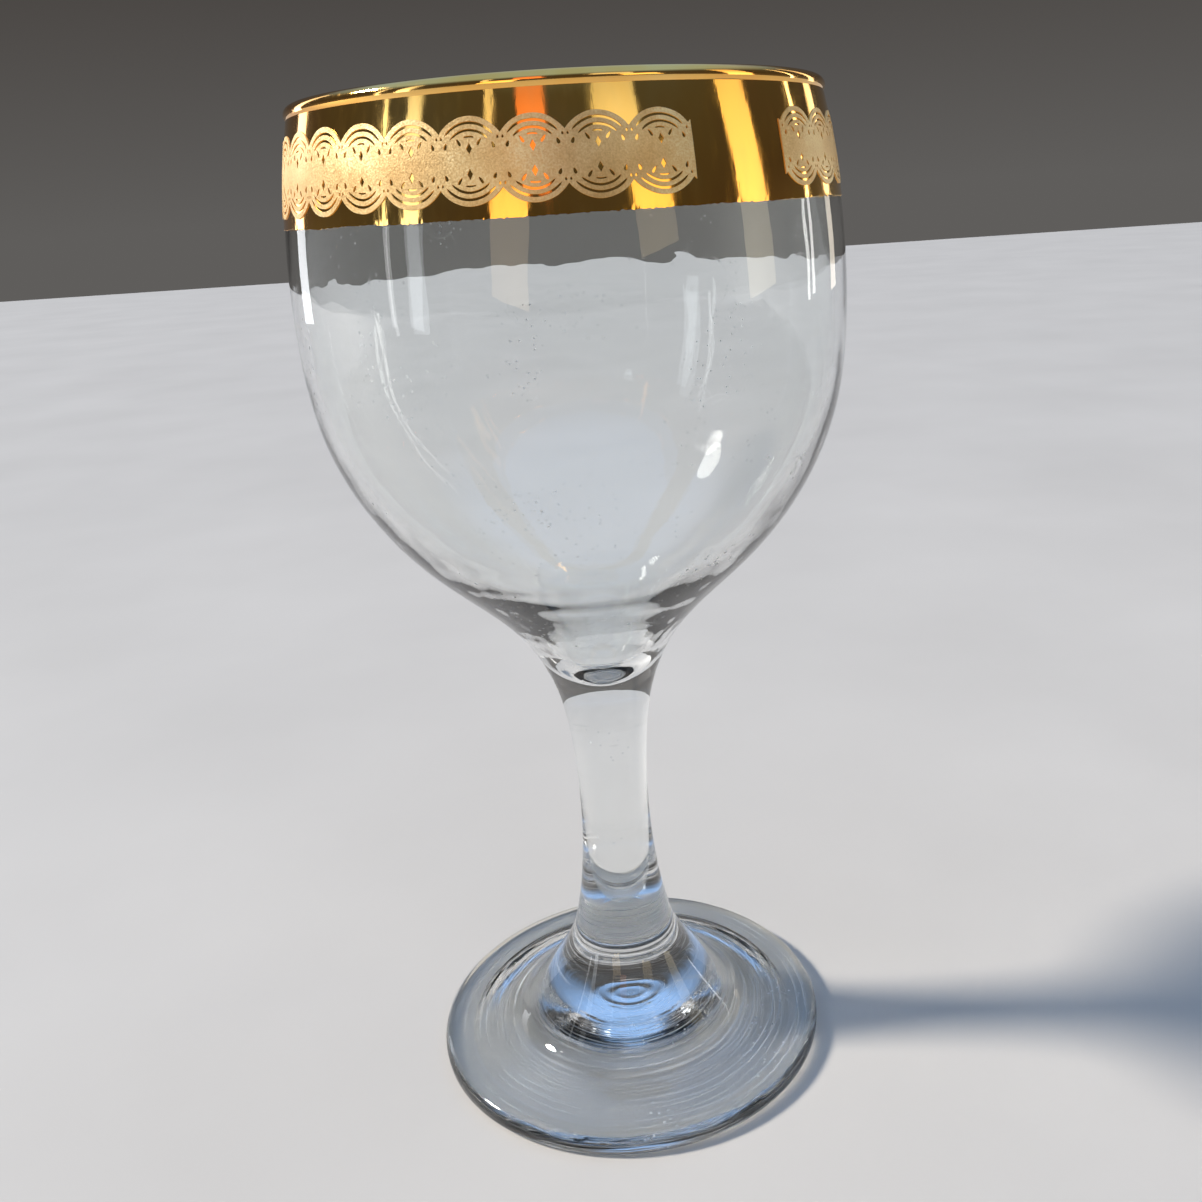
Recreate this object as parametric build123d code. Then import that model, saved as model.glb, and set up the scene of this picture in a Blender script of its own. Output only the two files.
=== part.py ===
from build123d import *
import math
import os

# Stemmed wine glass, all sizes in millimetres.
# The origin is the centre of the resting plane, +Z is the axis of the glass and
# -Y is the side that faces the viewer.

# Overall
HEIGHT = 166.0

# Foot: a pressed disc with a hollow underside, drawn up into the stem
FOOT_R = 36.0
FOOT_EDGE_T = 3.5
FOOT_TOP_R = 28.0
FOOT_TOP_Z = 4.4
FOOT_UPPER_EDGE_R = 2.0
FOOT_LOWER_EDGE_R = 1.3
RING_INNER_R = 30.5
UNDERSIDE_RISE = 5.5
HUB_FLARE = [(21.6, 5.4), (18.9, 8.0), (14.8, 13.1), (11.4, 18.0)]

# Stem: solid, waisted
STEM_BASE_Z = 23.0
STEM_BASE_R = 9.2
STEM_TAPER_Z = 31.0
STEM_TAPER_R = 7.5
STEM_WAIST_Z = 45.0
STEM_WAIST_R = 6.25
STEM_TOP_Z = 62.0
STEM_TOP_R = 6.85
STEM_BASE_RUN = (-0.29, 1.0)
STEM_TOP_RUN = (0.1, 1.0)

# Bowl: a curved cup up to the belly, then one long arc that closes in to the lip
BELLY_Z = 136.0
BELLY_R = 42.5
UPPER_ARC_R = 125.0
WALL_T = 1.75
CAVITY_Z = 73.5
CUP_OUTER = [(8.25, 70.0), (13.2, 81.0), (27.7, 96.0), (35.4, 106.0), (40.6, 118.0)]
CUP_INNER = [(38.8, 118.4), (33.6, 107.1), (25.8, 97.6), (10.5, 83.0), (4.6, 75.6)]

# Lip: a fire-polished bead that stands slightly proud of the wall
LIP_BEAD_R = 1.1
LIP_CENTRE_R = 38.4
LIP_CENTRE_Z = HEIGHT - LIP_BEAD_R

# Gold and lace: fired-on films, drawn thicker than the real ones
GILDING_T = 0.1
BAND_LOW_Z = 149.8
LACE_T = 0.12
LACE_Z = 156.3
MEDALLION_R = 4.93
MEDALLIONS = 31
LACE_PITCH = 10.91
LACE_LAST_AZIMUTH = -72.8
LACE_END_MARGIN = 5.9
DIAMOND_W = 0.75
DIAMOND_H = 1.3
DIAMOND_OFFSET = 1.4

# Centre of the arc that draws the upper wall
UPPER_ARC_X = BELLY_R - UPPER_ARC_R


def wall_point(z, offset=0.0):
    """Point of the upper outer wall at a height, moved outwards by offset."""
    reach = UPPER_ARC_R + offset
    return (UPPER_ARC_X + math.sqrt(reach**2 - (z - BELLY_Z) ** 2), z)


def wall_arc(z0, z1, offset=0.0):
    """Arc along the upper wall from one height to another."""
    middle = wall_point((z0 + z1) / 2, offset)
    return ThreePointArc(wall_point(z0, offset), middle, wall_point(z1, offset))


def wall_strip(z0, z1, inner, outer):
    """Thin strip along the upper wall between two offsets from it."""
    outline = wall_arc(z0, z1, outer)
    outline += Line(wall_point(z1, outer), wall_point(z1, inner))
    outline += wall_arc(z1, z0, inner)
    outline += Line(wall_point(z0, inner), wall_point(z0, outer))
    return make_face(outline)


def lathe(sketch, angle=360.0):
    """Turn an outline drawn in the radius-height plane about the glass's axis."""
    return revolve(Plane.XZ * sketch, Axis.Z, angle)


def lip_disc(radius):
    """Round section of the lip."""
    return Pos(LIP_CENTRE_R, LIP_CENTRE_Z) * Circle(radius)


def foot_outline():
    """Foot: hollow underside, standing ring, rounded edge, flare up to the stem."""
    apex = (0, UNDERSIDE_RISE)
    ring = (RING_INNER_R, 0)
    low_corner = (FOOT_R, 0)
    high_corner = (FOOT_R, FOOT_EDGE_T)
    disc_top = (FOOT_TOP_R, FOOT_TOP_Z)
    stem_base = (STEM_BASE_R, STEM_BASE_Z)
    outline = ThreePointArc(apex, (RING_INNER_R / 2, UNDERSIDE_RISE * 0.76), ring)
    outline += Polyline(ring, low_corner, high_corner, disc_top)
    outline += Spline([disc_top, *HUB_FLARE, stem_base], tangents=[(-8.0, 0.9), STEM_BASE_RUN])
    outline += Polyline(stem_base, (0, STEM_BASE_Z), apex)
    face = make_face(outline)
    face = fillet(face.vertices().sort_by_distance((*high_corner, 0))[0], FOOT_UPPER_EDGE_R)
    return fillet(face.vertices().sort_by_distance((*low_corner, 0))[0], FOOT_LOWER_EDGE_R)


def stem_outline():
    """Stem: waisted, and widening at both ends."""
    base = (STEM_BASE_R, STEM_BASE_Z)
    taper = (STEM_TAPER_R, STEM_TAPER_Z)
    waist = (STEM_WAIST_R, STEM_WAIST_Z)
    top = (STEM_TOP_R, STEM_TOP_Z)
    outline = Spline([base, taper, waist, top], tangents=[STEM_BASE_RUN, STEM_TOP_RUN])
    outline += Polyline(top, (0, STEM_TOP_Z), (0, STEM_BASE_Z), base)
    return make_face(outline)


def bowl_outline():
    """Bowl: solid root, wall that thins upwards, round lip."""
    root = (STEM_TOP_R, STEM_TOP_Z)
    belly = wall_point(BELLY_Z)
    belly_in = wall_point(BELLY_Z, -WALL_T)
    rim = wall_point(LIP_CENTRE_Z)
    rim_in = wall_point(LIP_CENTRE_Z, -WALL_T)
    cavity = (0, CAVITY_Z)
    outline = Spline([root, *CUP_OUTER, belly], tangents=[STEM_TOP_RUN, (0, 1)])
    outline += wall_arc(BELLY_Z, LIP_CENTRE_Z)
    outline += Line(rim, rim_in)
    outline += wall_arc(LIP_CENTRE_Z, BELLY_Z, -WALL_T)
    outline += Spline([belly_in, *CUP_INNER, cavity], tangents=[(0, -1), (-1, 0)])
    outline += Polyline(cavity, (0, STEM_TOP_Z), root)
    return make_face(outline) + lip_disc(LIP_BEAD_R)


def facing(azimuth, radius):
    """Upright plane that looks outwards at an azimuth, level with the lace."""
    a = math.radians(azimuth)
    outwards = (math.cos(a), math.sin(a), 0)
    origin = (radius * outwards[0], radius * outwards[1], LACE_Z)
    return Plane(origin=origin, x_dir=(-outwards[1], outwards[0], 0), z_dir=outwards)


def lace_border():
    """Lace: overlapping round medallions with diamond windows and one open seam."""
    cutter_r = LIP_CENTRE_R - 4
    cutter_depth = 10
    shape = Polygon((0, -DIAMOND_H / 2), (DIAMOND_W / 2, 0), (0, DIAMOND_H / 2), (-DIAMOND_W / 2, 0))
    discs = []
    windows = []
    for k in range(-1, MEDALLIONS + 1):
        plane = facing(LACE_LAST_AZIMUTH - k * LACE_PITCH, cutter_r)
        discs.append(extrude(plane * Circle(MEDALLION_R), cutter_depth))
        if 0 <= k < MEDALLIONS:
            for side in (-1, 1):
                window = plane * Pos(0, side * DIAMOND_OFFSET) * shape
                windows.append(extrude(window, cutter_depth))
    span = (MEDALLIONS - 1) * LACE_PITCH + 2 * LACE_END_MARGIN
    start = LACE_LAST_AZIMUTH + LACE_END_MARGIN - span
    low = LACE_Z - MEDALLION_R - 0.5
    high = LACE_Z + MEDALLION_R + 0.5
    strip = wall_strip(low, high, GILDING_T, GILDING_T + LACE_T)
    ribbon = Rot(0, 0, start) * lathe(strip, span)
    scalloped = ribbon & discs[0].fuse(*discs[1:])
    return scalloped.cut(*windows)


glass = bowl_outline()
lip_reach = lip_disc(LIP_BEAD_R + GILDING_T)
band = wall_strip(BAND_LOW_Z, LIP_CENTRE_Z, 0.0, GILDING_T) - lip_reach

parts = {
    "foot": lathe(foot_outline()),
    "stem": lathe(stem_outline()),
    "bowl": lathe(glass),
    "gold_band": lathe(band),
    "lip_gilding": lathe(lip_reach - glass),
    "lace_ornament": lace_border(),
}

os.makedirs("parts", exist_ok=True)
for name, shape in parts.items():
    export_step(shape, f"parts/{name}.step")
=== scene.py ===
import math

import bpy
import numpy as np
from mathutils import Matrix, Quaternion, Vector, noise
from mathutils.geometry import delaunay_2d_cdt


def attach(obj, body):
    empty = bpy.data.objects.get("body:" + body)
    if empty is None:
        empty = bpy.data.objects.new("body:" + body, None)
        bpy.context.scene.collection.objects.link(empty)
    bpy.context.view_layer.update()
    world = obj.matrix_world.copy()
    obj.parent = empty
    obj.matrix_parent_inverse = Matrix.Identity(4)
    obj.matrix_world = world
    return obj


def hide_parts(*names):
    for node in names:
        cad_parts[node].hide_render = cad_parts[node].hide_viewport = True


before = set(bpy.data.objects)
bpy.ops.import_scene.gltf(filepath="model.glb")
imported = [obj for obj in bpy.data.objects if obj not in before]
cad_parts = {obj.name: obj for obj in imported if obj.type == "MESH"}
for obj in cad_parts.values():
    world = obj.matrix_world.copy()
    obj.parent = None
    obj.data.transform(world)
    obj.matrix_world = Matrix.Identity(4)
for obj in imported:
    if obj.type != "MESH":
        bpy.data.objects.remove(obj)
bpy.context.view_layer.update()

# The outlines are drawn in millimetres, as (radius, height), and the meshes are in metres.
MM = 0.001
SEGMENTS = 288
BAND_SEGMENTS = 1152

# Foot
FOOT_R = 36.0
FOOT_EDGE_T = 3.5
FOOT_TOP = (28.0, 4.4)
FOOT_TOP_RUN = (-8.0, 0.9)
FOOT_UPPER_EDGE_R = 2.0
FOOT_LOWER_EDGE_R = 1.3
RING_INNER_R = 30.5
UNDERSIDE_RISE = 5.5
HUB_FLARE = [(21.6, 5.4), (18.9, 8.0), (14.8, 13.1), (11.4, 18.0)]

# Stem
STEM_BASE = (9.2, 23.0)
STEM_TAPER = (7.5, 31.0)
STEM_WAIST = (6.25, 45.0)
STEM_TOP = (6.85, 62.0)
STEM_BASE_RUN = (-0.29, 1.0)
STEM_TOP_RUN = (0.1, 1.0)

# Bowl
BELLY_Z = 136.0
BELLY_R = 42.5
UPPER_ARC_R = 125.0
UPPER_ARC_X = BELLY_R - UPPER_ARC_R
WALL_T = 1.75
CAVITY_Z = 73.5
CUP_OUTER = [(8.25, 70.0), (13.2, 81.0), (27.7, 96.0), (35.4, 106.0), (40.6, 118.0)]
CUP_INNER = [(38.8, 118.4), (33.6, 107.1), (25.8, 97.6), (10.5, 83.0), (4.6, 75.6)]

# Lip bead, with the bead's arc in degrees before it is trimmed to the wall
LIP_R = 1.1
LIP_CENTRE = (38.4, 164.9)
BEAD_ARC = (-100, 280)
BEAD_FAIRING = 0.3

# Lengths of the steps along the outlines
FINE_STEP = 0.25
HUB_STEP = 0.35
CUP_OUTER_STEP = 0.8
CUP_INNER_STEP = 0.7
BEAD_STEP = 0.16
GILDING_STEP = 0.12
BAND_STEP = 0.8

# How far the blown wall strays off its outline: slow waves, finer ripples on the outside, and ripples
# low in the cup. Each dies away over a length next to the lip, the stem or the axis.
WAVE_DEPTH = 0.045
RIPPLE_DEPTH = 0.014
INNER_WAVE_DEPTH = 1.5 * WAVE_DEPTH
CUP_RIPPLE_DEPTH = 0.055
CUP_RIPPLE_Z = 112.0
CUP_RIPPLE_FADE = 20.0
OUTER_LIP_FADE = 6.0
INNER_LIP_Z = 165.0
INNER_LIP_FADE = 8.0
STEM_FADE = 30.0
AXIS_FADE = 12.0

# Grain of those patterns: noise cells across the radius, and noise cells per millimetre of height
WAVE_CELLS, WAVE_RATE = 2.4, 0.05
FINER, FINER_SHARE = 3.1, 0.3
RIPPLE_CELLS, RIPPLE_RATE = 9, 0.16
CUP_CELLS, CUP_RATE = 0.9, 0.42

# Mould rings in the hollow under the foot, and the round marks at its middle: radius, depth and width
RING_DEPTH = 0.015
RING_FADE = 3.0
RINGS_PER_MM = 1.3
MOULD_MARKS = [(4.2, 0.1, 0.6), (2.0, 0.06, 0.5)]

# Gold films
GILDING_T = 0.1
GILDING_ARC = (-34, 205)
FILM_GAP = 0.01
BAND_LOW_Z = 149.8
BAND_TOP_Z = 164.36
BAND_EDGE_WANDER = 0.2

# Lace
LACE_T = 0.12
LACE_Z = 156.3
MEDALLION_R = 4.93
MEDALLIONS = 31
LACE_PITCH = 10.91
LACE_LAST_AZIMUTH = -72.8
LACE_END_MARGIN = 5.9
LACE_FILL_STEP = 0.9
LACE_EDGE_STEPS = 40
WELDS_PER_MM = 500

# Openings in each medallion, in millimetres from its middle. Slots are radius, width, half angle in
# degrees and steps; the diamond is height above the middle, width and height; drops are x, y, width,
# height and lean in degrees.
LACE_SLOTS = [(4.2, 0.32, 48, 18), (3.4, 0.3, 45, 18), (2.7, 0.2, 15, 8)]
LACE_DIAMOND = (1.4, 0.75, 1.3)
LACE_DROPS = [(1.3, 2.1, 0.36, 0.95, -36), (3.05, 1.7, 0.42, 0.75, 20), (3.6, 2.55, 0.28, 0.4, 0)]
DROP_POINTS = 12
DROP_TAPER = 0.35

# The printed border strays a little, and on one side it is pulled up and stretched
LACE_SEED = 5
LACE_WANDER = 0.05
LACE_PULLED_AZIMUTH = -150.0
LACE_PULL = 0.3
LACE_STRETCH = 0.1


# ---------------------------------------------------------------- outlines

def spline(points, start_run, end_run, step=0.5):
    """Smooth cubic through the points that leaves and arrives along the given runs."""
    p = np.array(points, float)
    h = np.linalg.norm(np.diff(p, axis=0), axis=1)
    n = len(p)
    a = np.eye(n)
    b = np.zeros((n, 2))
    b[0] = np.array(start_run) / np.linalg.norm(start_run)
    b[-1] = np.array(end_run) / np.linalg.norm(end_run)
    for i in range(1, n - 1):
        before, after = h[i - 1], h[i]
        a[i, i - 1 : i + 2] = after, 2 * (before + after), before
        b[i] = 3 * (after * (p[i] - p[i - 1]) / before + before * (p[i + 1] - p[i]) / after)
    m = np.linalg.solve(a, b)
    out = []
    for i in range(n - 1):
        count = max(2, round(h[i] / step))
        for t in np.arange(count) / count:
            out.append(
                (2 * t**3 - 3 * t**2 + 1) * p[i]
                + (t**3 - 2 * t**2 + t) * h[i] * m[i]
                + (3 * t**2 - 2 * t**3) * p[i + 1]
                + (t**3 - t**2) * h[i] * m[i + 1]
            )
    return out


def line(a, b, step=0.5):
    """Points from a up to but not including b."""
    a, b = np.array(a, float), np.array(b, float)
    count = max(1, round(np.linalg.norm(b - a) / step))
    return [a + (b - a) * k / count for k in range(count)]


def arc(centre, radius, start_deg, end_deg, step=0.5):
    """Points along a circular arc, without the last."""
    span = math.radians(end_deg - start_deg)
    count = max(6, round(abs(span) * radius / step))
    angles = [math.radians(start_deg) + span * k / count for k in range(count)]
    return [np.array(centre) + radius * np.array((math.cos(t), math.sin(t))) for t in angles]


def corner(before, at, after, radius):
    """Rounded corner between two straight runs."""
    before, at, after = (np.array(v, float) for v in (before, at, after))
    u = (before - at) / np.linalg.norm(before - at)
    v = (after - at) / np.linalg.norm(after - at)
    half = math.acos(float(u @ v)) / 2
    centre = at + (u + v) / np.linalg.norm(u + v) * radius / math.sin(half)
    first = at + u * radius / math.tan(half) - centre
    last = at + v * radius / math.tan(half) - centre
    start = math.degrees(math.atan2(first[1], first[0]))
    turn = math.degrees(math.atan2(last[1], last[0])) - start
    turn = (turn + 180) % 360 - 180
    return arc(centre, radius, start, start + turn, FINE_STEP)


def wall_r(z, offset=0.0):
    """Radius of the upper wall at a height, moved outwards by offset."""
    return UPPER_ARC_X + math.sqrt((UPPER_ARC_R + offset) ** 2 - (z - BELLY_Z) ** 2)


def wall(z0, z1, offset=0.0, step=0.9):
    """Points along the upper wall from one height up to but not including another."""
    count = max(2, round(abs(z1 - z0) / step))
    heights = [z0 + (z1 - z0) * k / count for k in range(count)]
    return [np.array((wall_r(z, offset), z)) for z in heights]


def underside():
    """Hollow under the foot, from its middle out to the standing ring."""
    sag, half = UNDERSIDE_RISE, RING_INNER_R
    radius = (half**2 + sag**2) / (2 * sag)
    centre = (0.0, sag - radius)
    reach = math.degrees(math.asin(half / radius))
    return arc(centre, radius, 90, 90 - reach, FINE_STEP)


def glass_outline():
    """Run over the whole glass, from the axis back to it, and the rows where foot and stem end."""
    low = (FOOT_R, 0.0)
    high = (FOOT_R, FOOT_EDGE_T)
    run = underside()
    run += line((RING_INNER_R, 0.0), (FOOT_R - FOOT_LOWER_EDGE_R, 0.0))
    run += corner((RING_INNER_R, 0.0), low, high, FOOT_LOWER_EDGE_R)
    edge = corner(low, high, FOOT_TOP, FOOT_UPPER_EDGE_R)
    run += edge
    run += line(edge[-1], FOOT_TOP)[1:]
    run += spline([FOOT_TOP, *HUB_FLARE, STEM_BASE], FOOT_TOP_RUN, STEM_BASE_RUN, HUB_STEP)
    foot_end = len(run)
    run += spline([STEM_BASE, STEM_TAPER, STEM_WAIST, STEM_TOP], STEM_BASE_RUN, STEM_TOP_RUN)
    stem_end = len(run)
    belly = (BELLY_R, BELLY_Z)
    belly_in = (BELLY_R - WALL_T, BELLY_Z)
    run += spline([STEM_TOP, *CUP_OUTER, belly], STEM_TOP_RUN, (0, 1), CUP_OUTER_STEP)
    bead = arc(LIP_CENTRE, LIP_R, *BEAD_ARC, BEAD_STEP)
    outside = [p for p in bead if p[0] > wall_r(p[1]) or p[1] > LIP_CENTRE[1]]
    outside += [p for p in bead if p[0] < wall_r(p[1], -WALL_T) and p[1] <= LIP_CENTRE[1]]
    run += wall(BELLY_Z, outside[0][1])
    run += outside
    run += wall(outside[-1][1] - BEAD_FAIRING, BELLY_Z, -WALL_T)
    run += spline([belly_in, *CUP_INNER, (0.0, CAVITY_Z)], (0, -1), (-1, 0), CUP_INNER_STEP)
    run.append(np.array((0.0, CAVITY_Z)))
    return np.array(run), foot_end, stem_end


# ---------------------------------------------------------------- meshes

def link(name, verts, faces, normals=None, slots=None):
    """New mesh object in the scene, with vertices in metres; smooth where normals are given."""
    mesh = bpy.data.meshes.new(name)
    mesh.from_pydata([tuple(v) for v in verts], [], faces)
    mesh.update()
    mesh.polygons.foreach_set("use_smooth", [normals is not None] * len(faces))
    if slots is not None:
        mesh.polygons.foreach_set("material_index", slots)
    if normals is not None:
        mesh.normals_split_custom_set_from_vertices([tuple(n) for n in normals])
    piece = bpy.data.objects.new(name, mesh)
    bpy.context.scene.collection.objects.link(piece)
    return piece


def turned(run, shift=None, segments=SEGMENTS):
    """Rows of points made by turning an outline about the axis; shift moves each along its normal."""
    run = np.asarray(run)
    along = np.gradient(run, axis=0)
    across = np.stack([along[:, 1], -along[:, 0]], axis=1)
    across /= np.linalg.norm(across, axis=1)[:, None]
    turn = 2 * math.pi * np.arange(segments) / segments
    cos, sin = np.cos(turn), np.sin(turn)
    rows = np.empty((len(run), segments, 3))
    for i, ((r, z), (nr, nz)) in enumerate(zip(run, across)):
        push = np.zeros(segments) if shift is None else shift(i, r, z, turn)
        rows[i, :, 0] = (r + nr * push) * cos
        rows[i, :, 1] = (r + nr * push) * sin
        rows[i, :, 2] = z + nz * push
    return rows


def row_normals(rows):
    """Unit normals of the turned surface, pointing to the left of the way the outline runs."""
    along = np.gradient(rows, axis=0)
    around = np.roll(rows, -1, axis=1) - np.roll(rows, 1, axis=1)
    normals = np.cross(around, along)
    size = np.linalg.norm(normals, axis=2, keepdims=True)
    return normals / np.maximum(size, 1e-12)


def ring_faces(count, closed=False, segments=SEGMENTS):
    """Quads between neighbouring rows of a turned surface."""
    faces = []
    for i in range(count if closed else count - 1):
        a, b = i * segments, (i + 1) % count * segments
        for j in range(segments):
            k = (j + 1) % segments
            faces.append((a + j, a + k, b + k, b + j))
    return faces


def glass_section(name, rows, normals, first, last):
    """Closed piece of the glass. A row at the axis ends in a point, and any other in a flat joint face."""
    grid = rows[first:last]
    facing = normals[first:last]
    ends = []
    for end, sign in ((0, -1), (-1, 1)):
        on_axis = abs(grid[end, :, :2]).max() < 1e-6
        ends.append((on_axis, grid[end].mean(axis=0), sign))
    keep = slice(1 if ends[0][0] else 0, len(grid) - 1 if ends[1][0] else len(grid))
    grid, facing = grid[keep], facing[keep]
    verts = list(grid.reshape(-1, 3))
    around = list(facing.reshape(-1, 3))
    faces = ring_faces(len(grid))
    slots = [0] * len(faces)
    for (on_axis, centre, sign), start in zip(ends, (0, (len(grid) - 1) * SEGMENTS)):
        verts.append(centre)
        around.append(np.array((0.0, 0.0, sign)))
        hub = len(verts) - 1
        for j in range(SEGMENTS):
            k = (j + 1) % SEGMENTS
            fan = (hub, start + k, start + j) if start == 0 else (hub, start + j, start + k)
            faces.append(fan)
            slots.append(0 if on_axis else 1)
    return link(name, np.array(verts) * MM, faces, around, slots)


def film(name, outer, inner, segments=SEGMENTS, stray=None):
    """Closed ring turned from the two sides of a thin outline, each side with its own normals."""
    rows = turned(outer + inner, segments=segments)
    if stray is not None:
        stray(rows)
    normals = np.concatenate([row_normals(rows[: len(outer)]), row_normals(rows[len(outer) :])])
    faces = ring_faces(len(rows), closed=True, segments=segments)
    return link(name, rows.reshape(-1, 3) * MM, faces, normals.reshape(-1, 3))


def fade(distance, length):
    """Rises from 0 to 1 over a length."""
    return min(1.0, max(0.0, distance / length))


def around_axis(a, radius, z):
    """Place in a noise field for an azimuth in radians, so that patterns close up round the axis."""
    return Vector((math.cos(a) * radius, math.sin(a) * radius, z))


def wave(a, z, seed):
    """Slow unevenness of a blown wall, between about -1 and 1."""
    at = around_axis(a, WAVE_CELLS, z * WAVE_RATE + seed)
    return noise.noise(at) + FINER_SHARE * noise.noise(at * FINER)


def outer_wave(a, z):
    """How far the outer wall, and so the films on it, stand off the drawn outline."""
    ripple = noise.noise(around_axis(a, RIPPLE_CELLS, z * RIPPLE_RATE))
    near_lip = fade(LIP_CENTRE[1] - z, OUTER_LIP_FADE)
    return (WAVE_DEPTH * wave(a, z, 0.0) + RIPPLE_DEPTH * ripple) * near_lip


# ---------------------------------------------------------------- glass

def underside_shift(r, turn):
    """Mould rings and marks under the foot, at one radius."""
    mark = sum(depth * math.exp(-(((r - at) / width) ** 2)) for at, depth, width in MOULD_MARKS)
    out = np.zeros_like(turn)
    for k, a in enumerate(turn):
        worn = 0.6 + 0.8 * noise.noise(around_axis(a, r * 0.08, 1.0))
        ring = noise.noise(Vector((r * RINGS_PER_MM, 0.12 * math.cos(a), 0.12 * math.sin(a))))
        out[k] = fade(RING_INNER_R - r, RING_FADE) * (RING_DEPTH * worn * ring - mark) * min(1.0, r)
    return out


def inner_shift(r, z, turn):
    """Waves inside the bowl and ripples low in its cup, at one radius and height."""
    near_axis = fade(r, AXIS_FADE)
    near_lip = min(1.0, (INNER_LIP_Z - z) / INNER_LIP_FADE)
    cup = fade(CUP_RIPPLE_Z - z, CUP_RIPPLE_FADE)
    out = np.zeros_like(turn)
    for k, a in enumerate(turn):
        ripple = noise.noise(around_axis(a, CUP_CELLS, z * CUP_RATE))
        out[k] = CUP_RIPPLE_DEPTH * cup * near_axis * ripple
        out[k] -= INNER_WAVE_DEPTH * wave(a, z, 3.0) * near_axis * near_lip
    return out


def glass_shift(i, r, z, turn):
    """How far row i of the glass is pushed off the drawn outline, at each azimuth."""
    if i < UNDERSIDE_ROWS:
        return underside_shift(r, turn)
    if i > LIP_ROW:
        return inner_shift(r, z, turn)
    if i >= stem_end:
        return np.array([fade(z - STEM_TOP[1], STEM_FADE) * outer_wave(a, z) for a in turn])
    return np.zeros_like(turn)


outline, foot_end, stem_end = glass_outline()
UNDERSIDE_ROWS = len(underside())
LIP_ROW = int(np.argmax(outline[:, 1]))
glass_rows = turned(outline, glass_shift)
glass_normals = row_normals(glass_rows)
foot = glass_section("glass_foot", glass_rows, glass_normals, 0, foot_end + 1)
stem = glass_section("glass_stem", glass_rows, glass_normals, foot_end, stem_end + 1)
bowl = glass_section("glass_bowl", glass_rows, glass_normals, stem_end, len(outline))


# ---------------------------------------------------------------- gold

def band_stray(rows):
    """The band follows the wall's waves, and its lower edge wanders a little."""
    for j in range(BAND_SEGMENTS):
        a = 2 * math.pi * j / BAND_SEGMENTS
        out = np.array((math.cos(a), math.sin(a)))
        for row in rows:
            row[j, :2] += out * outer_wave(a, row[j, 2])
        ragged = noise.noise(around_axis(a, 90, 0.0))
        slow = noise.noise(around_axis(a, 4, 7.0))
        for row in (rows[0], rows[-1]):
            row[j, 2] += BAND_EDGE_WANDER * (ragged + slow)


def gold_band():
    """Film round the upper wall."""
    heights = np.arange(BAND_LOW_Z, BAND_TOP_Z, BAND_STEP).tolist() + [BAND_TOP_Z]
    outer = [np.array((wall_r(z, GILDING_T), z)) for z in heights]
    inner = [np.array((wall_r(z, FILM_GAP), z)) for z in reversed(heights)]
    return film("rim_band", outer, inner, BAND_SEGMENTS, band_stray)


def lip_gilding():
    """Gold over the lip bead, closed against the glass."""
    start, end = GILDING_ARC
    outer = arc(LIP_CENTRE, LIP_R + GILDING_T, start, end, GILDING_STEP)
    inner = arc(LIP_CENTRE, LIP_R + FILM_GAP, end, start, GILDING_STEP)
    return film("lip_gold", outer, inner)


band = gold_band()
lip = lip_gilding()


# ---------------------------------------------------------------- lace

LACE_RADIUS = wall_r(LACE_Z, GILDING_T + LACE_T)
DEGREE = math.radians(1) * LACE_RADIUS
LACE_CHORD = LACE_PITCH * DEGREE


def slot_loop(radius, width, half_angle, count, side):
    """Curved slot with pointed ends, parallel to the medallion's edge, above or below its middle."""
    outer, inner = [], []
    for k in range(count + 1):
        t = -1 + 2 * k / count
        a = math.radians(90 + half_angle * t)
        w = width / 2 * math.sqrt(max(0.0, 1 - t**6))
        for out, rr in ((outer, radius + w), (inner, radius - w)):
            out.append((rr * math.cos(a), side * rr * math.sin(a)))
    return outer + inner[-2:0:-1]


def diamond_loop(x, y, width, height):
    """Upright diamond."""
    return [(x, y - height / 2), (x + width / 2, y), (x, y + height / 2), (x - width / 2, y)]


def drop_loop(x, y, width, height, lean):
    """Leaf-shaped opening, turned by lean degrees."""
    loop = []
    for k in range(DROP_POINTS):
        a = 2 * math.pi * k / DROP_POINTS
        px = width / 2 * math.cos(a) * (1 - DROP_TAPER * math.sin(a))
        py = height / 2 * math.sin(a)
        c, s = math.cos(math.radians(lean)), math.sin(math.radians(lean))
        loop.append((x + px * c - py * s, y + px * s + py * c))
    return loop


def lace_openings():
    """Every opening in one medallion, where the gold below shows."""
    loops = []
    rise, *diamond = LACE_DIAMOND
    for side in (-1, 1):
        loops += [slot_loop(*slot, side) for slot in LACE_SLOTS]
        loops.append(diamond_loop(0, side * rise, *diamond))
        for hand in (-1, 1):
            for x, y, width, height, lean in LACE_DROPS:
                loops.append(drop_loop(hand * x, side * y, width, height, hand * side * lean))
    return loops


def inside(point, loop):
    """Whether a flat point lies inside a closed loop."""
    x, y = point
    hit = False
    for (x0, y0), (x1, y1) in zip(loop, loop[1:] + loop[:1]):
        if (y0 > y) != (y1 > y) and x < x0 + (y - y0) * (x1 - x0) / (y1 - y0):
            hit = not hit
    return hit


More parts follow.
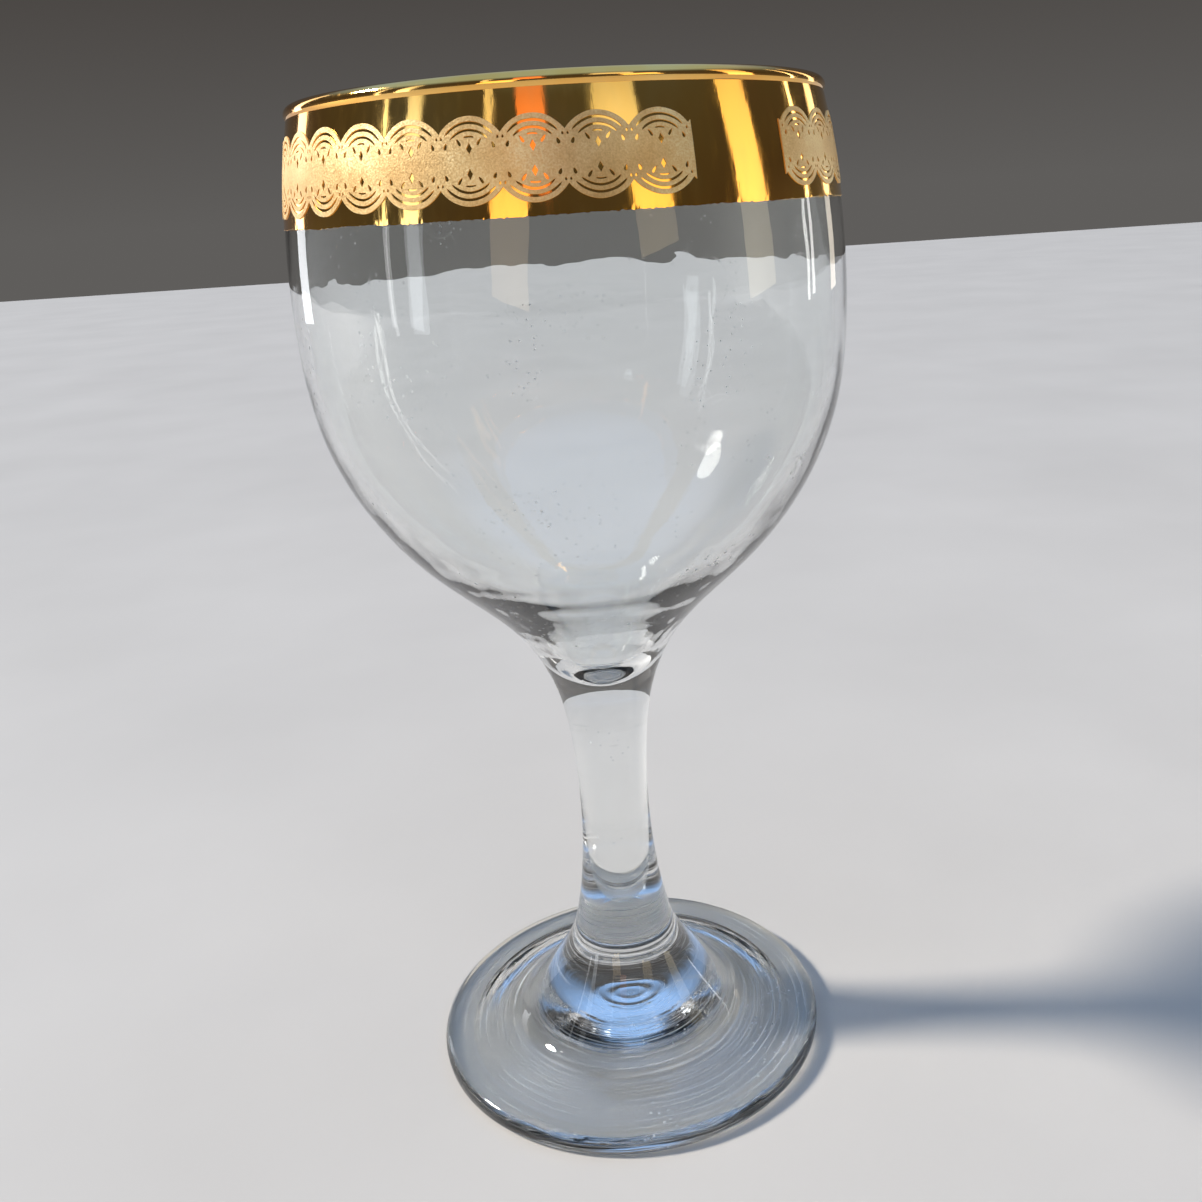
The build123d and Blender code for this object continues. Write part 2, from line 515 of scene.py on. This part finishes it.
def lace_cell(left, right):
    """Flat triangles of one medallion between two upright cuts, in millimetres from its middle."""
    loops = lace_openings()
    edge = []
    for side in (1, -1):
        start, end = (left, right) if side > 0 else (right, left)
        for k in range(LACE_EDGE_STEPS + 1):
            x = start + (end - start) * k / LACE_EDGE_STEPS
            nearest = min(abs(x - c * LACE_CHORD) for c in (-1, 0, 1))
            edge.append((x, side * math.sqrt(max(0.0, MEDALLION_R**2 - nearest**2))))
    points, faces = [], []
    for loop in [edge] + loops:
        start = len(points)
        points += [Vector(p) for p in loop]
        faces.append(list(range(start, len(points))))
    nx, ny = int((right - left) / LACE_FILL_STEP), int(2 * MEDALLION_R / LACE_FILL_STEP)
    for ix in range(nx + 1):
        for iy in range(ny):
            p = (left + (right - left) * ix / nx, -MEDALLION_R + LACE_FILL_STEP * (iy + 0.5))
            points.append(Vector(p))
    verts, _, tris, _, _, _ = delaunay_2d_cdt(points, [], faces, 0, 1e-5)
    kept = []
    for tri in tris:
        middle = sum((verts[i] for i in tri), Vector((0, 0))) / len(tri)
        if inside(middle, edge) and not any(inside(middle, loop) for loop in loops):
            kept.append(tuple(tri))
    return [tuple(v) for v in verts], kept


def lace_sheet():
    """The flat border, unrolled: one cell per medallion, welded where cells meet, open at the seam."""
    half, end = LACE_CHORD / 2, LACE_END_MARGIN * DEGREE
    points, tris, index = [], [], {}
    for k in range(MEDALLIONS):
        left = -half if k < MEDALLIONS - 1 else -end
        right = half if k > 0 else end
        verts, faces = lace_cell(left, right)
        centre = (LACE_LAST_AZIMUTH - k * LACE_PITCH) * DEGREE
        places = []
        for x, y in verts:
            key = (round((x + centre) * WELDS_PER_MM), round(y * WELDS_PER_MM))
            if key not in index:
                index[key] = len(points)
                points.append((x + centre, y))
            places.append(index[key])
        welded = [tuple(places[i] for i in tri) for tri in faces]
        tris += [tri for tri in welded if len(set(tri)) == 3]
    return points, tris


def lace_point(u, v, offset):
    """Place on the wall for u along the flat border and v up from its middle."""
    stray = noise.noise_vector(Vector((u * 0.45, v * 0.45, 3.0))) * LACE_WANDER
    azimuth = (u + stray.x) / DEGREE
    a = math.radians(azimuth)
    pulled = max(0.0, math.cos(math.radians(azimuth - LACE_PULLED_AZIMUTH))) ** 4
    z = LACE_Z + v * (1 + LACE_STRETCH * pulled) + LACE_PULL * pulled + stray.y
    r = wall_r(z, offset) + outer_wave(a, z)
    return (r * math.cos(a), r * math.sin(a), z)


def lace():
    """Raised matt film wrapped on the gold."""
    noise.seed_set(LACE_SEED)  # without a seed, noise_vector differs from one run to the next
    flat, tris = lace_sheet()
    count = len(flat)
    offsets = (GILDING_T + LACE_T, GILDING_T + FILM_GAP)
    verts = [lace_point(u, v, offset) for offset in offsets for u, v in flat]
    faces = tris + [tuple(count + i for i in reversed(t)) for t in tris]
    edges = dict.fromkeys((a, b) for t in tris for a, b in zip(t, t[1:] + t[:1]))
    faces += [(b, a, count + a, count + b) for a, b in edges if (b, a) not in edges]
    used = sorted({i for face in faces for i in face})
    where = {old: new for new, old in enumerate(used)}
    faces = [tuple(where[i] for i in face) for face in faces]
    return link("lace_border", np.array([verts[i] for i in used]) * MM, faces)


lace_piece = lace()


# ---------------------------------------------------------------- materials

GLASS_IOR = 1.52
GROOVE_STRAY = 0.0012  # metres off round
GREEN_TINT = (0.955, 0.975, 0.968)
GREY_TINT = (0.975, 0.985, 0.98)
BAND_TONES = ((1.0, 0.70, 0.25), (1.0, 0.57, 0.13), (1.0, 0.48, 0.14))
BEAD_TONES = ((1.0, 0.66, 0.23), (1.0, 0.54, 0.13), (1.0, 0.46, 0.12))
LACE_TONES = ((0.68, 0.42, 0.16), (0.86, 0.59, 0.26), (1.0, 0.81, 0.44))
FLOOR_TONES = ((0.46, 0.425, 0.38), (0.50, 0.463, 0.415))


def material(name):
    """Material, its Principled shader, and helpers that add linked nodes and wire the shader."""
    mat = bpy.data.materials.new(name)
    mat.use_nodes = True
    nodes = mat.node_tree.nodes
    shader = nodes["Principled BSDF"]

    def add(kind, links=(), **values):
        node = nodes.new(kind)
        for key, value in values.items():
            if hasattr(node, key):
                setattr(node, key, value)
            else:
                node.inputs[key.replace("_", " ")].default_value = value
        for socket, source in dict(links).items():
            mat.node_tree.links.new(source, node.inputs[socket])
        return node

    def wire(source, socket):
        mat.node_tree.links.new(source, shader.inputs[socket])

    return mat, shader, add, wire


def ramp(add, source, stops):
    """Colour ramp from (position, colour) pairs; a colour may be one grey number."""
    stops = list(stops)
    node = add("ShaderNodeValToRGB", {"Fac": source})
    elements = node.color_ramp.elements
    while len(elements) < len(stops):
        elements.new(0.5)
    for element, (position, colour) in zip(elements, stops):
        element.position = position
        element.color = (colour, colour, colour, 1) if isinstance(colour, float) else (*colour, 1)
    return node.outputs["Color"]


def place(add, scale):
    """Object coordinates stretched by scale, so that patterns are sized in the part's own frame."""
    coords = add("ShaderNodeTexCoord")
    mapping = add("ShaderNodeMapping", {"Vector": coords.outputs["Object"]})
    mapping.inputs["Scale"].default_value = scale
    return mapping.outputs["Vector"]


def mottle(add, scale, detail, stretch=(1, 1, 1), roughness=0.5):
    """Noise between 0 and 1 in the part's own frame."""
    links = {"Vector": place(add, stretch)}
    return add("ShaderNodeTexNoise", links, Scale=scale, Detail=detail, Roughness=roughness).outputs["Fac"]


def cells(add, scale, stretch=(1, 1, 1)):
    """Distance from the middles of scattered cells."""
    links = {"Vector": place(add, stretch)}
    return add("ShaderNodeTexVoronoi", links, Scale=scale, Randomness=1.0).outputs["Distance"]


def combine(add, operation, a, b):
    """Math node of two sockets."""
    return add("ShaderNodeMath", {0: a, 1: b}, operation=operation).outputs[0]


def relief(add, wire, height, strength, distance):
    """Fine relief on the shader; distance is in metres."""
    bump = add("ShaderNodeBump", {"Height": height}, Strength=strength, Distance=distance)
    wire(bump.outputs["Normal"], "Normal")


def grooves(add):
    """Fine concentric tool marks, slightly off round."""
    split = add("ShaderNodeSeparateXYZ", {0: place(add, (1, 1, 1))})
    flat = add("ShaderNodeCombineXYZ", {"X": split.outputs["X"], "Y": split.outputs["Y"]})
    radius = add("ShaderNodeVectorMath", {0: flat.outputs[0]}, operation="LENGTH").outputs["Value"]
    stray = add("ShaderNodeMath", {0: mottle(add, 60.0, 1.0)}, operation="MULTIPLY")
    stray.inputs[1].default_value = GROOVE_STRAY
    strayed = combine(add, "ADD", radius, stray.outputs[0])
    rings = add("ShaderNodeTexNoise", {"W": strayed}, noise_dimensions="1D", Scale=1500.0, Detail=2.0)
    return rings.outputs["Fac"]


def worn_arcs(add, height):
    """The grooves that are scuffed, in broken arcs."""
    worn = ramp(add, mottle(add, 45.0, 3.0), [(0.38, 0.0), (0.62, 1.0)])
    arcs = ramp(add, height, [(0.56, 0.0), (0.60, 0.25), (0.63, 0.25), (0.67, 0.0)])
    return combine(add, "MULTIPLY", arcs, worn)


def glass_material(name, tool_marks=False):
    """Clear soda glass with a faint tint, wiped smears, water rings, specks of dust and tool marks."""
    mat, shader, add, wire = material(name)
    shader.inputs["IOR"].default_value = GLASS_IOR
    wire(ramp(add, mottle(add, 30.0, 2.0), [(0.3, GREEN_TINT), (0.7, GREY_TINT)]), "Base Color")
    smear = ramp(add, mottle(add, 42.0, 6.0, (1, 1, 0.35), 0.65), [(0.56, 0.0), (0.78, 0.09)])
    patches = ramp(add, mottle(add, 55.0, 3.0), [(0.52, 0.0), (0.66, 1.0)])
    specks = ramp(add, cells(add, 640.0), [(0.12, 0.32), (0.18, 0.0)])
    dust = combine(add, "MULTIPLY", specks, patches)
    rings = [(0.30, 0.0), (0.325, 0.22), (0.335, 0.22), (0.36, 0.0)]
    drops = combine(add, "MULTIPLY", ramp(add, cells(add, 85.0, (1, 1, 0.8)), rings), patches)
    wear = combine(add, "MAXIMUM", smear, combine(add, "MAXIMUM", dust, drops))
    if tool_marks:
        height, strength = grooves(add), 0.14
        arcs = worn_arcs(add, height)
        haze = combine(add, "ADD", dust, arcs)
        wear = combine(add, "MAXIMUM", wear, arcs)
    else:
        height, strength = mottle(add, 210.0, 1.0, (1, 1, 1.6)), 0.05
        haze = dust
    wire(wear, "Roughness")
    wire(ramp(add, haze, [(0.0, 1.0), (0.6, 0.45)]), "Transmission Weight")
    relief(add, wire, height, strength, 0.00012)
    return mat


def joint_material():
    """The flat faces where foot, stem and bowl are fused: there is no surface left to see."""
    mat = bpy.data.materials.new("fused_joint")
    mat.use_nodes = True
    nodes = mat.node_tree.nodes
    nodes.remove(nodes["Principled BSDF"])
    clear = nodes.new("ShaderNodeBsdfTransparent")
    mat.node_tree.links.new(clear.outputs[0], nodes["Material Output"].inputs["Surface"])
    return mat


def gold_material(name, tones):
    """Burnished gold lustre: cloudy between three tones, with fine scratches and pits."""
    mat, shader, add, wire = material(name)
    shader.inputs["Metallic"].default_value = 1.0
    cloud = mottle(add, 38.0, 4.0, (1, 1, 0.6), 0.6)
    wire(ramp(add, cloud, zip((0.30, 0.52, 0.72), tones)), "Base Color")
    fine = mottle(add, 900.0, 3.0, (1, 1, 0.08))
    wire(ramp(add, fine, [(0.35, 0.03), (0.7, 0.12)]), "Roughness")
    relief(add, wire, fine, 0.08, 0.0001)
    return mat


def lace_material():
    """Matt cream enamel with a fine grain and thin patches."""
    mat, shader, add, wire = material("frosted_lace")
    grain = mottle(add, 4200.0, 2.0)
    patch = mottle(add, 120.0, 4.0)
    share = add("ShaderNodeMix", {"A": patch, "B": grain})
    share.inputs["Factor"].default_value = 0.35
    wire(ramp(add, share.outputs["Result"], zip((0.36, 0.50, 0.64), LACE_TONES)), "Base Color")
    wire(ramp(add, grain, [(0.3, 0.32), (0.7, 0.50)]), "Roughness")
    shader.inputs["Metallic"].default_value = 0.6
    relief(add, wire, grain, 0.4, 0.00008)
    return mat


def floor_material():
    """Pale matt table top with a barely visible mottle."""
    mat, shader, add, wire = material("pale_floor")
    wire(ramp(add, mottle(add, 9.0, 5.0), zip((0.3, 0.7), FLOOR_TONES)), "Base Color")
    shader.inputs["Roughness"].default_value = 0.6
    return mat


blown_glass = glass_material("blown_glass")
pressed_glass = glass_material("pressed_glass", tool_marks=True)
joint_mat = joint_material()
for piece, node, mats, slot in (
    (foot, "foot", [pressed_glass, joint_mat], "glass"),
    (stem, "stem", [blown_glass, joint_mat], "glass"),
    (bowl, "bowl", [blown_glass, joint_mat], "glass"),
    (band, "gold_band", [gold_material("band_gold", BAND_TONES)], "gold"),
    (lip, "lip_gilding", [gold_material("bead_gold", BEAD_TONES)], "gold"),
    (lace_piece, "lace_ornament", [lace_material()], "lace"),
):
    for mat in mats:
        piece.data.materials.append(mat)
    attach(piece, "root")
    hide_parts(node)


# ---------------------------------------------------------------- studio

# Upright soft boxes round the glass: azimuth, width, lower and upper edge in metres, lean in degrees,
# brightness, colour, and whether they can be seen through the glass.
SOFT_BOXES = [
    (-14, 0.19, 0.10, 0.72, 5, 0.42, (1.0, 0.86, 0.56), False),
    (-67, 0.24, 0.44, 0.75, -6, 0.40, (0.93, 0.98, 1.0), False),
    (-57, 0.22, 0.22, 0.43, 8, 0.38, (1.0, 0.78, 0.42), False),
    (-101, 0.15, 0.36, 0.75, 3, 0.42, (1.0, 0.34, 0.14), False),
    (-112, 0.20, 0.12, 0.38, -9, 0.40, (1.0, 0.74, 0.42), False),
    (-118, 0.05, 0.40, 0.75, 2, 0.50, (0.9, 0.95, 1.0), True),
    (-150, 0.09, 0.08, 0.70, -3, 0.45, (0.92, 0.96, 1.0), True),
    (-163, 0.025, 0.08, 0.70, 2, 0.60, (1.0, 1.0, 1.0), True),
    (-172, 0.03, 0.62, 0.66, 0, 40.0, (1.0, 0.93, 0.85), False),
    (20, 0.03, 0.08, 0.70, 0, 0.90, (1.0, 0.98, 0.95), True),
    (38, 0.08, 0.08, 0.70, 4, 0.45, (1.0, 0.9, 0.75), False),
    (142, 0.12, 0.08, 0.70, 0, 0.70, (0.95, 0.97, 1.0), False),
]
SOFT_BOX_DISTANCE = 0.8
SOFT_BOX_SPREAD = 80

KEY_ENERGY = 5.4
KEY_ANGLE = 9
KEY_COLOUR = (1.0, 0.96, 0.9)
KEY_RUN = Vector((0.78, -0.10, -0.60))

# Sky by the height of the direction: dark round the horizon and clear blue overhead
SKY = [
    (0.0, (0.115, 0.110, 0.105)),
    (0.2, (0.060, 0.053, 0.048)),
    (0.5, (0.075, 0.080, 0.085)),
    (0.74, (0.34, 0.57, 0.98)),
]

# The floor lies just under the foot, so that the two surfaces don't coincide
FLOOR_HALF = 3
FLOOR_Z = -0.00005

# Camera fitted to the photograph: its place, its axes, and its lens in millimetres
CAMERA_AT = Vector((0.0, -0.187625, 0.150923))
CAMERA_RIGHT = Vector((0.99528996, -0.07606089, -0.06010515))
CAMERA_UP = Vector((0.08172672, 0.32486184, 0.94222371))
CAMERA_AHEAD = Vector((0.0521405, 0.942698, -0.32954794))
CAMERA_LENS = 34.512
CAMERA_SHIFT = -0.048


def soft_box(name, azimuth, width, low, high, lean, brightness, colour, through_glass):
    """Upright rectangular light that faces the glass."""
    light = bpy.data.lights.new(name, "AREA")
    light.shape = "RECTANGLE"
    light.size, light.size_y = width, high - low
    light.energy = brightness * math.pi * width * (high - low)
    light.spread = math.radians(SOFT_BOX_SPREAD)
    light.color = colour
    lamp = bpy.data.objects.new(name, light)
    a = math.radians(azimuth)
    lamp.location = (SOFT_BOX_DISTANCE * math.cos(a), SOFT_BOX_DISTANCE * math.sin(a), (low + high) / 2)
    facing = Vector((-math.cos(a), -math.sin(a), 0.0))
    turn = facing.to_track_quat("-Z", "Y") @ Quaternion((0, 0, 1), math.radians(lean))
    lamp.rotation_euler = turn.to_euler()
    lamp.visible_camera = False
    lamp.visible_transmission = through_glass
    bpy.context.scene.collection.objects.link(lamp)


def floor():
    """Plain table top under the glass."""
    corners = [(x * FLOOR_HALF, y * FLOOR_HALF, 0) for x, y in ((-1, -1), (1, -1), (1, 1), (-1, 1))]
    top = link("floor", corners, [(0, 1, 2, 3)])
    top.location.z = FLOOR_Z
    top.data.materials.append(floor_material())


def key_light():
    """Sun from the left."""
    light = bpy.data.lights.new("key", "SUN")
    light.energy = KEY_ENERGY
    light.angle = math.radians(KEY_ANGLE)
    light.color = KEY_COLOUR
    key = bpy.data.objects.new("key", light)
    key.rotation_euler = KEY_RUN.to_track_quat("-Z", "Y").to_euler()
    bpy.context.scene.collection.objects.link(key)


def sky():
    """World that shades from SKY by height."""
    world = bpy.data.worlds.new("studio")
    bpy.context.scene.world = world
    world.use_nodes = True
    nodes, links = world.node_tree.nodes, world.node_tree.links
    coords = nodes.new("ShaderNodeTexCoord")
    split = nodes.new("ShaderNodeSeparateXYZ")
    shade = nodes.new("ShaderNodeValToRGB")
    links.new(coords.outputs["Generated"], split.inputs[0])
    links.new(split.outputs["Z"], shade.inputs["Fac"])
    links.new(shade.outputs["Color"], nodes["Background"].inputs["Color"])
    nodes["Background"].inputs["Strength"].default_value = 1.0
    elements = shade.color_ramp.elements
    while len(elements) < len(SKY):
        elements.new(0.5)
    for element, (position, colour) in zip(elements, SKY):
        element.position = position
        element.color = (*colour, 1)


def camera():
    """Looks 19 degrees down on the near side, from just above the gold band's lower edge."""
    data = bpy.data.cameras.new("camera")
    data.sensor_width = 36
    data.lens = CAMERA_LENS
    data.shift_x = CAMERA_SHIFT
    data.clip_start = 0.01
    eye = bpy.data.objects.new("camera", data)
    turn = Matrix((CAMERA_RIGHT, CAMERA_UP, -CAMERA_AHEAD)).transposed().to_4x4()
    eye.matrix_world = Matrix.Translation(CAMERA_AT) @ turn
    bpy.context.scene.collection.objects.link(eye)
    bpy.context.scene.camera = eye


floor()
for number, box in enumerate(SOFT_BOXES):
    soft_box(f"soft_box_{number}", *box)
key_light()
sky()
camera()
bpy.context.scene.view_settings.view_transform = "Standard"

bpy.context.view_layer.update()
